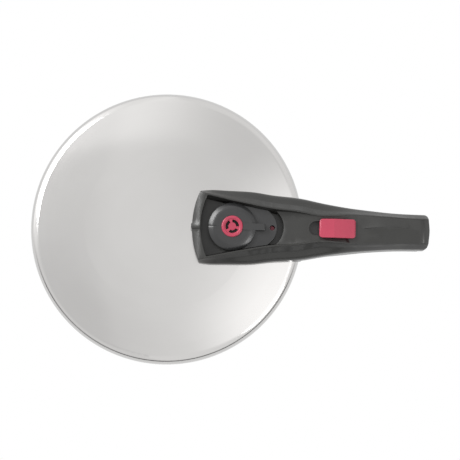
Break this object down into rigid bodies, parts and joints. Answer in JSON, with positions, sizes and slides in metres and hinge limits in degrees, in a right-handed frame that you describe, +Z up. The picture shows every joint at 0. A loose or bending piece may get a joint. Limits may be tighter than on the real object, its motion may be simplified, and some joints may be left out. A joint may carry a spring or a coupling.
{
  "type": "stovetop pressure cooker",
  "caption": "Closed steel pressure cooker: bayonet lid with a long handle, selector valve, pressure indicator and sliding lock, over a deep pot with its own handle.",
  "frame": {"origin": "centre of the base's underside, on the axis about which the lid turns", "axes": "+Z up, +X along both handles"},
  "size_m": [0.3556, 0.245, 0.2066],
  "materials": {
    "polished_steel": "mirror-polished stainless steel with fine wiping scratches",
    "aluminium_plate": "rolled plate, hidden in the base",
    "bracket_steel": "pressed or turned stainless steel",
    "blackened_steel": "turned steel, blackened by steam and heat",
    "screw_steel": "bright screws",
    "spring_steel": "drawn spring wire and strip",
    "bush_aluminium": "turned",
    "grey_phenolic": "moulded phenolic, satin, dark grey",
    "dark_phenolic": "moulded plastic, satin, cool dark grey",
    "red_plastic": "moulded plastic, satin, pinkish red",
    "silicone": "moulded silicone, matt grey"
  },
  "bodies": {
    "pot": {"pot_body": "polished_steel", "base_core": "aluminium_plate", "base_cap": "polished_steel", "pot_bracket": "bracket_steel", "flame_guard": "bracket_steel", "pot_handle": "grey_phenolic", "pot_handle_screw": "screw_steel"},
    "seal": {"gasket": "silicone"},
    "lid": {"lid_shell": "polished_steel", "lid_bracket": "bracket_steel", "lid_handle": "grey_phenolic", "handle_cover": "grey_phenolic", "bracket_screw": "screw_steel", "cover_screw": "screw_steel", "valve_housing": "dark_phenolic", "valve_body": "blackened_steel", "valve_seal": "silicone", "valve_nut": "bracket_steel", "vent_guard": "bracket_steel", "regulator_spring": "spring_steel", "regulator_screw": "blackened_steel", "selector_clip": "spring_steel", "indicator_bush": "bush_aluminium", "indicator_washer": "silicone", "indicator_nut": "bracket_steel", "detent_spring": "spring_steel"},
    "selector": {"selector_knob": "dark_phenolic", "steam_cap": "red_plastic"},
    "regulator": {"regulator_plunger": "bracket_steel"},
    "indicator": {"indicator_rod": "bracket_steel", "indicator_seal": "silicone", "indicator_tip": "red_plastic"},
    "lock": {"lock_button": "red_plastic", "lock_slider": "dark_phenolic", "lock_bar": "bracket_steel", "lock_rivet": "bracket_steel"}
  },
  "joints": [
    {"name": "lid_lift", "type": "slide", "parent": "pot", "child": "seal", "axis": [0, 0, 1], "range_m": [0, 0.15]},
    {"name": "lid_turn", "type": "hinge", "parent": "seal", "child": "lid", "pos_m": [0, 0, 0.165], "axis": [0, 0, 1], "range_deg": [0, 30]},
    {"name": "valve_selector", "type": "hinge", "parent": "lid", "child": "selector", "pos_m": [0.059, 0, 0.198], "axis": [0, 0, 1], "range_deg": [-25, 25]},
    {"name": "regulator_lift", "type": "slide", "parent": "lid", "child": "regulator", "axis": [0, 0, 1], "range_m": [0, 0.0015], "stiffness_N_per_m": 500, "springref_m": -0.0031, "deforming": ["regulator_spring"]},
    {"name": "pressure_pin_rise", "type": "slide", "parent": "lid", "child": "indicator", "axis": [0, 0, 1], "range_m": [0, 0.005]},
    {"name": "lock_slide", "type": "slide", "parent": "lid", "child": "lock", "axis": [-1, 0, 0], "range_m": [0, 0.008]}
  ]
}
